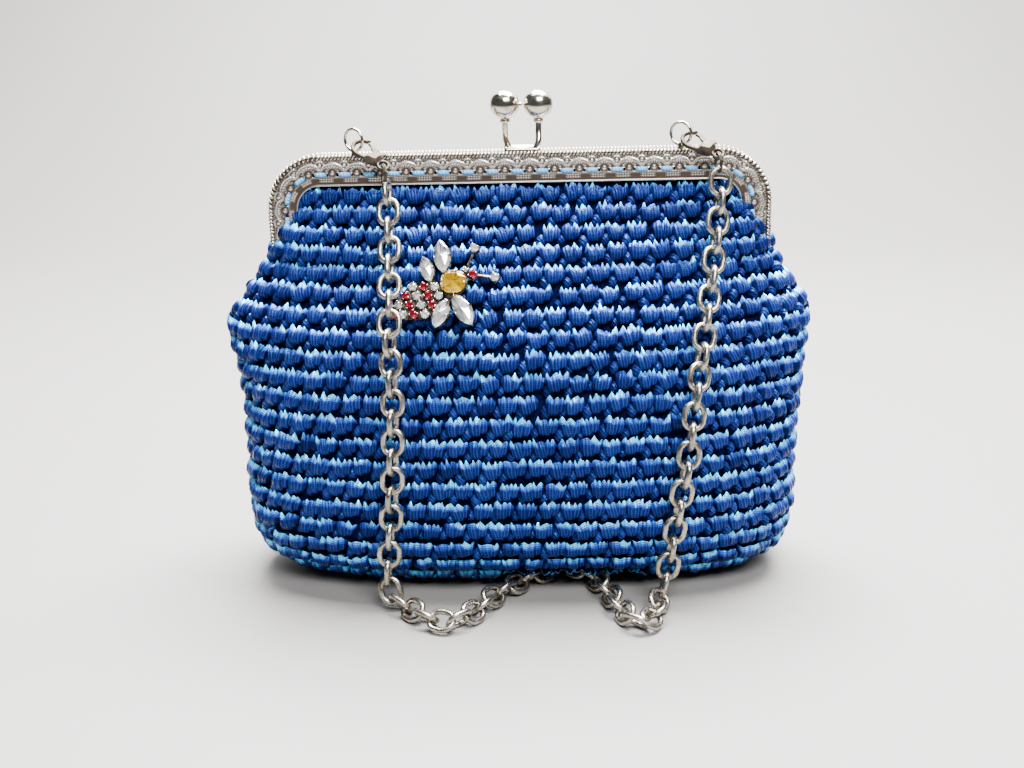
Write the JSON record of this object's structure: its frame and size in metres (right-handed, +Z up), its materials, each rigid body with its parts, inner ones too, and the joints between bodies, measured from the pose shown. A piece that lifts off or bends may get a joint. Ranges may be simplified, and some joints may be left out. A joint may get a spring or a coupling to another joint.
{
  "type": "crochet handbag",
  "caption": "Hollow crochet handbag on a hinged metal purse frame with a kiss-lock, a clip-on chain strap laid over its front and a jewelled bee brooch.",
  "frame": {"origin": "middle of the flat patch of the base that the bag stands on", "axes": "+X to the right as the bag is seen from the front, -Y out of the front with the brooch, +Z up"},
  "size_m": [0.238, 0.1227, 0.1978],
  "materials": {
    "ribbon_yarn": "satin ribbon, crocheted",
    "nickel_plate": "polished nickel plate",
    "clear_glass": "cut and polished",
    "red_glass": "cut and polished",
    "amber_glass": "cut and polished"
  },
  "bodies": {
    "bag": {"crochet_body": "ribbon_yarn", "frame_front": "nickel_plate", "frame_back": "nickel_plate", "hinge_rivet_left": "nickel_plate", "hinge_rivet_right": "nickel_plate", "clasp_body_left": "nickel_plate", "strap_ring_left": "nickel_plate", "clasp_body_right": "nickel_plate", "strap_ring_right": "nickel_plate", "chain_strap": "nickel_plate", "brooch_setting": "nickel_plate", "brooch_head_stone": "red_glass", "brooch_neck_stone": "clear_glass", "brooch_antenna_stone_1": "clear_glass", "brooch_antenna_stone_2": "clear_glass", "brooch_abdomen_stone_01": "clear_glass", "brooch_abdomen_stone_02": "clear_glass", "brooch_abdomen_stone_03": "red_glass", "brooch_abdomen_stone_04": "red_glass", "brooch_abdomen_stone_05": "red_glass", "brooch_abdomen_stone_06": "clear_glass", "brooch_abdomen_stone_07": "clear_glass", "brooch_abdomen_stone_08": "clear_glass", "brooch_abdomen_stone_09": "clear_glass", "brooch_abdomen_stone_10": "red_glass", "brooch_abdomen_stone_11": "red_glass", "brooch_abdomen_stone_12": "red_glass", "brooch_abdomen_stone_13": "clear_glass", "brooch_abdomen_stone_14": "clear_glass", "brooch_abdomen_stone_15": "red_glass", "brooch_wing_1": "clear_glass", "brooch_wing_2": "clear_glass", "brooch_wing_3": "clear_glass", "brooch_wing_4": "clear_glass", "brooch_thorax_stone": "amber_glass"},
    "left_clasp_lever": {"clasp_lever_left": "nickel_plate"},
    "right_clasp_lever": {"clasp_lever_right": "nickel_plate"}
  },
  "joints": [
    {"name": "left_clasp_opens", "type": "hinge", "parent": "bag", "child": "left_clasp_lever", "pos_m": [-0.05467, -0.00991, 0.17367], "axis": [0.2113, -0.6273, 0.7495], "range_deg": [0, 18], "stiffness_Nm_per_rad": 0.005, "springref_deg": -5.73},
    {"name": "right_clasp_opens", "type": "hinge", "parent": "bag", "child": "right_clasp_lever", "pos_m": [0.07465, -0.00973, 0.17527], "axis": [0.1055, -0.6398, 0.7613], "range_deg": [0, 18], "stiffness_Nm_per_rad": 0.005, "springref_deg": -5.73}
  ]
}
